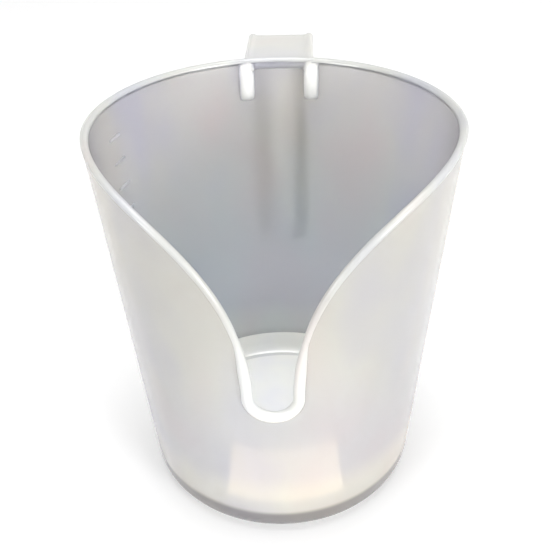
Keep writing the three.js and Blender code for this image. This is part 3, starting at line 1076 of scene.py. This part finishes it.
class SkinAndPaintedLight(Nodes):
    """What varies over a moulded surface: painted light and shade by height, clouds of tint in it
    and a fine texture.
    """

    INPUTS = {
        "Color": "NodeSocketColor",
        "Roughness": "NodeSocketFloat",
        "Painted Low Color": "NodeSocketColor",
        "Low Level": "NodeSocketFloat",
        "High Level": "NodeSocketFloat",
        "Hem Color": "NodeSocketColor",
        "Foot Color": "NodeSocketColor",
    }
    OUTPUTS = {
        "Color": "NodeSocketColor",
        "Roughness": "NodeSocketFloat",
        "Normal": "NodeSocketVector",
    }
    FOOT = (9.5 * MM, 12.5 * MM)  # the painted shade at the foot ends between these heights
    HEM = (18 * MM, 34 * MM)  # and the painted light band's between these
    # Noises: features for each metre, octaves and scale along each axis
    CLOUD = (26, 2, (1, 1, 0.6))
    HAZE = (60, 3, (1, 1, 0.35))
    GRAIN = (900, 2, (1, 1, 1))
    TINTS = (  # of the clouds
        (0.35, (0.91, 0.93, 1.0, 1)),
        (0.52, (0.985, 1.0, 0.975, 1)),
        (0.68, (1.0, 0.965, 0.945, 1)),
    )
    HAZE_SHARES = (0.85, 1.15)  # of the roughness
    GRAIN_STRENGTH, GRAIN_DEPTH = 0.08, 0.05 * MM

    def __init__(self) -> None:
        """Makes the node group's interface."""
        super().__init__(bpy.data.node_groups.new("Skin and painted light", "ShaderNodeTree"))
        for way, sockets in (("INPUT", self.INPUTS), ("OUTPUT", self.OUTPUTS)):
            for label, kind in sockets.items():
                self.group.interface.new_socket(label, in_out=way, socket_type=kind)

    def place(self) -> bpy.types.NodeSocket:
        """Returns the place on the object."""
        return self.node("ShaderNodeTexCoord").outputs["Object"]

    def noise(
        self, scale: float, detail: float, stretch: tuple[float, float, float]
    ) -> bpy.types.NodeSocket:
        """Makes a noise over the object.

        Args:
            scale: features for each metre.
            detail: its octaves.
            stretch: scale along each axis.

        Returns:
            The noise.
        """
        mapping = self.node("ShaderNodeMapping", {"Vector": self.place(), "Scale": stretch})
        inputs = {"Vector": mapping.outputs["Vector"], "Scale": scale, "Detail": detail}
        return self.node("ShaderNodeTexNoise", inputs).outputs["Fac"]

    def mix(
        self, blend: str, factor: object, first: object, second: object
    ) -> bpy.types.NodeSocket:
        """Returns two colours mixed; each argument is a value or a socket."""
        inputs = {0: factor, 6: first, 7: second}  # by number: other inputs share their names
        return self.node("ShaderNodeMix", inputs, data_type="RGBA", blend_type=blend).outputs[2]

    def below(
        self, colour: bpy.types.NodeSocket, start: object, end: object
    ) -> bpy.types.NodeSocket:
        """Turns a colour white upwards.

        Args:
            colour: the colour.
            start: height where it starts to turn, as a value or a socket.
            end: height where it is white.

        Returns:
            The colour at each height.
        """
        inputs = {"Value": self.split(self.place())[2], "From Min": start, "From Max": end}
        step = self.node("ShaderNodeMapRange", inputs, interpolation_type="SMOOTHSTEP")
        return self.mix("MIX", step.outputs["Result"], colour, WHITE)

    def build(self) -> bpy.types.NodeTree:
        """Builds the nodes and returns the group."""
        source = self.node("NodeGroupInput").outputs
        tint = self.node("ShaderNodeValToRGB", {"Fac": self.noise(*self.CLOUD)})
        ramp = tint.color_ramp.elements
        ramp.remove(ramp[1])
        ramp[0].position, ramp[0].color = self.TINTS[0]
        for position, shade in self.TINTS[1:]:
            ramp.new(position).color = shade
        colour = source["Color"]
        for part in (
            tint.outputs["Color"],
            self.below(source["Painted Low Color"], source["Low Level"], source["High Level"]),
            self.below(source["Hem Color"], *self.HEM),
            self.below(source["Foot Color"], *self.FOOT),
        ):
            colour = self.mix("MULTIPLY", 1.0, colour, part)
        least, most = self.HAZE_SHARES
        inputs = {"Value": self.noise(*self.HAZE), "To Min": least, "To Max": most}
        haze = Field(self.group, self.node("ShaderNodeMapRange", inputs).outputs["Result"])
        roughness = haze * Field(self.group, source["Roughness"])
        inputs = {
            "Strength": self.GRAIN_STRENGTH,
            "Distance": self.GRAIN_DEPTH,
            "Height": self.noise(*self.GRAIN),
        }
        normal = self.node("ShaderNodeBump", inputs).outputs["Normal"]
        self.node("NodeGroupOutput", {"Color": colour, "Roughness": roughness, "Normal": normal})
        return self.group


# Stage


@dataclass(frozen=True)
class Lamp:
    """A square soft box that faces the cup."""

    name: str
    place: tuple[float, float, float]
    aim: tuple[float, float, float]
    watts: float
    side: float = 0.9

    def add(self) -> None:
        """Puts it in the scene."""
        data = bpy.data.lights.new(self.name, "AREA")
        data.shape = "RECTANGLE"
        data.size = data.size_y = self.side
        data.energy = self.watts
        made = add_object(self.name, data)
        made.location = self.place
        way = Vector(self.aim) - made.location
        made.rotation_euler = way.to_track_quat("-Z", "Y").to_euler()
        made.visible_camera = False


def staged(
    name: str,
    points: Sequence[tuple[float, float, float]],
    faces: Sequence[tuple[int, ...]],
    material: bpy.types.Material,
) -> bpy.types.Object:
    """Puts a sheet on the stage.

    Args:
        name: the object's name.
        points: its corners.
        faces: its faces.
        material: its finish.

    Returns:
        The object.
    """
    mesh = bpy.data.meshes.new(name)
    mesh.from_pydata(points, [], faces)
    mesh.materials.append(material)
    made = add_object(name, mesh)
    return made


@dataclass(frozen=True)
class ReflectionGlowCard:
    """A glowing card that lies before the cup and shows only in its gloss, as a painted reflection.
    It lights nothing.
    """

    radii: tuple[float, float] = (64 * MM, 88 * MM)  # from the cup's axis
    bearings: tuple[float, float] = (-26.0, 33.0)  # degrees, from the spout towards +X
    level: float = 2 * MM
    brightness: float = 3.2
    colour: tuple[float, float, float] = (1.0, 0.84, 0.62)
    steps: int = 24

    def add(self) -> None:
        """Puts it on the stage."""
        turns = np.radians(np.linspace(*self.bearings, self.steps + 1))
        ways = [(math.sin(turn), -math.cos(turn)) for turn in turns]
        places = [(x * far, y * far, self.level) for x, y in ways for far in self.radii]
        faces = [(2 * i, 2 * i + 1, 2 * i + 3, 2 * i + 2) for i in range(self.steps)]
        inputs = {
            "Base Color": (0, 0, 0, 1),
            "Emission Color": (*self.colour, 1),
            "Emission Strength": self.brightness,
        }
        made = staged("card", places, faces, plain_material("glowing_reflection_card", inputs))
        for ray in ("camera", "diffuse", "transmission", "shadow"):
            setattr(made, f"visible_{ray}", False)


@dataclass(frozen=True)
class Studio:
    """Pale floor, white surroundings, soft boxes and a glowing card that paints a reflection."""

    lamps: tuple[Lamp, ...]
    card: ReflectionGlowCard = ReflectionGlowCard()
    floor_side: float = 6.0
    floor_level: float = -0.2 * MM  # just clear of the underside, so that light gets under it
    floor_colour: tuple[float, float, float] = (0.62, 0.62, 0.62)
    floor_roughness: float = 0.9
    floor_lift: float = 0.42  # light that the floor adds for what looks at it
    surroundings: float = 1.0  # brightness of the world where it is looked at
    fill: float = 0.27  # brightness of the world as a lamp

    def add(self) -> None:
        """Puts it all in the scene."""
        bpy.context.scene.view_settings.view_transform = "Standard"
        self.add_floor()
        self.add_world()
        for source in (*self.lamps, self.card):
            source.add()

    @staticmethod
    def looked_at(tree: bpy.types.NodeTree) -> Field:
        """Returns 1 for rays from the camera, a reflection or a clear material, and else 0."""
        path = tree.nodes.new("ShaderNodeLightPath").outputs
        seen = Field(tree, path["Is Camera Ray"])
        for label in ("Is Glossy Ray", "Is Transmission Ray"):
            seen = seen.calculate("MAXIMUM", seen, Field(tree, path[label]))
        return seen

    def add_floor(self) -> None:
        """Adds the floor, which keeps the cup's shadow."""
        half = self.floor_side / 2
        sides = ((-half, -half), (half, -half), (half, half), (-half, half))
        inputs = {
            "Base Color": (*self.floor_colour, 1),
            "Roughness": self.floor_roughness,
            "Specular IOR Level": 0.0,
            "Emission Color": WHITE,
        }
        material = plain_material("pale_floor", inputs)
        tree = material.node_tree
        lift = self.looked_at(tree) * self.floor_lift
        feed(tree.nodes["Principled BSDF"], {"Emission Strength": lift})
        staged("floor", [(x, y, self.floor_level) for x, y in sides], [(0, 1, 2, 3)], material)

    def add_world(self) -> None:
        """Adds white surroundings."""
        world = bpy.data.worlds.new("studio")
        world.use_nodes = True
        nodes = Nodes(world.node_tree)
        seen = self.looked_at(nodes.group)
        inputs = {"Value": seen, "To Min": self.fill, "To Max": self.surroundings}
        strength = nodes.node("ShaderNodeMapRange", inputs).outputs["Result"]
        feed(nodes.group.nodes["Background"], {"Color": WHITE, "Strength": strength})
        bpy.context.scene.world = world


@dataclass(frozen=True)
class Viewpoint:
    """The photograph's camera."""

    place: tuple[float, float, float] = (0.01075, -0.22992, 0.2369)
    right: tuple[float, float, float] = (0.99912, 0.03285, -0.02594)
    down: tuple[float, float, float] = (-0.00302, -0.56156, -0.82743)
    forward: tuple[float, float, float] = (-0.04175, 0.82678, -0.56097)
    focal: float = 742.0  # pixels
    sensor: float = 36.0  # millimetres
    clip: tuple[float, float] = (0.01, 20.0)

    def add(self) -> None:
        """Puts the camera in the scene."""
        data = bpy.data.cameras.new("camera")
        data.sensor_width = self.sensor
        data.lens = self.sensor * self.focal / PHOTO_SIDE
        data.clip_start, data.clip_end = self.clip
        made = add_object("camera", data)
        axes = Matrix((self.right, -Vector(self.down), -Vector(self.forward))).transposed()
        made.matrix_world = Matrix.Translation(self.place) @ axes.to_4x4()
        bpy.context.scene.camera = made


# Cup


class Slot(Enum):
    """The record's material slots."""

    BODY = "body"
    EDGE = "edge"


MARK_PREFIX = "mark_"
HANDLE_PREFIX = "handle_"
LAMPS = (
    Lamp("right", (2.111, -2.039, 0.694), (0, 0, 0.07), 84.4),
    Lamp("left", (-2.111, -2.039, 0.694), (0, 0, 0.07), 46.0),
    Lamp("top", (0, 0, 2), (0, 0, 0), 25.7),
)
OUTSIDE = {
    # the warm tone, against the inside's blue-lilac, is painted light passing through the wall; the
    # clearness is the plastic's own
    "colour": (0.665, 0.63, 0.58),
    "clearness": 0.4,
    "scatter_length": 6 * MM,
    "gloss": 0.4,
    "gloss_roughness": 0.09,
    # painted shade: the outside turns darker and bluer towards the bottom, below 40 to 100 mm
    "painted_low_colour": (0.82, 0.82, 0.92),
    "levels": (40 * MM, 100 * MM),
    # painted light: a brighter, warmer band low on the outside, above the painted foot shade
    "hem_colour": (1.22, 1.2, 1.06),
    # painted shade: a dark band round the base, where the cup stands
    "foot_colour": (0.45, 0.45, 0.48),
}
INSIDE = {
    # the blue-lilac colour is painted cool shade on the inside of the same plastic
    "colour": (0.91, 0.90, 1.0),
    "clearness": 0.97,
    "scatter_length": 6 * MM,
    # painted shade: the inside turns bluer towards the bottom, below 60 to 130 mm
    "painted_low_colour": (0.86, 1.0, 1.04),
    "levels": (60 * MM, 130 * MM),
}
EDGE = {
    "colour": (0.56, 0.555, 0.545),
    "clearness": 0.05,
    "scatter_length": 1.5 * MM,
    "roughness": 0.35,
    # painted light: the bead is brighter below 75 to 115 mm, round the notch
    "painted_low_colour": (1.35, 1.35, 1.35),
    "levels": (75 * MM, 115 * MM),
}
SOLID = {
    "colour": (0.63, 0.615, 0.59),
    "clearness": 0.0,
    "scatter_length": 1.5 * MM,
    "roughness": 0.35,
    "gloss": 0.6,
    "gloss_roughness": 0.08,
    # painted light: the solid parts below the rim's height (the handle's roots and grip, the floor,
    # the marks) are brighter than the handle's top
    "painted_low_colour": (1.53, 1.53, 1.53),
    "levels": (138.5 * MM, 143.2 * MM),
}


def dress(piece: bpy.types.Object, slot: Slot, nodes: Iterable[str]) -> None:
    """Gives a piece its place in the frame.

    Args:
        piece: the piece.
        slot: its material slot; not used.
        nodes: CAD nodes that it stands for.
    """
    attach(piece, "root")
    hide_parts(*nodes)
    log.info("%s: %d faces", piece.name, len(piece.data.polygons))


def main() -> None:
    """Builds the cup and its scene."""
    logging.basicConfig(level=logging.INFO)
    Viewpoint().add()
    Studio(LAMPS).add()
    skin = SkinAndPaintedLight().build()
    finishes = {"outside": OUTSIDE, "inside": INSIDE, "edge": EDGE, "solid": SOLID}
    outside, inside, edge, solid = (
        Polypropylene(f"polypropylene_{name}", skin, **values).material()
        for name, values in finishes.items()
    )
    beaker = Beaker()
    marks = sorted(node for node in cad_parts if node.startswith(MARK_PREFIX))
    handle = [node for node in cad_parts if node.startswith(HANDLE_PREFIX)]
    shell = [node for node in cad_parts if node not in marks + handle]
    dress(beaker.build(outside, inside, edge, solid), Slot.BODY, shell)
    dress(Handle(beaker).build(solid), Slot.BODY, handle)
    levels = [(low.z + high.z) / 2 for low, high in map(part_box, marks)]
    dress(Graduation(beaker).build(levels, solid), Slot.EDGE, marks)


if __name__ == "__main__":
    main()
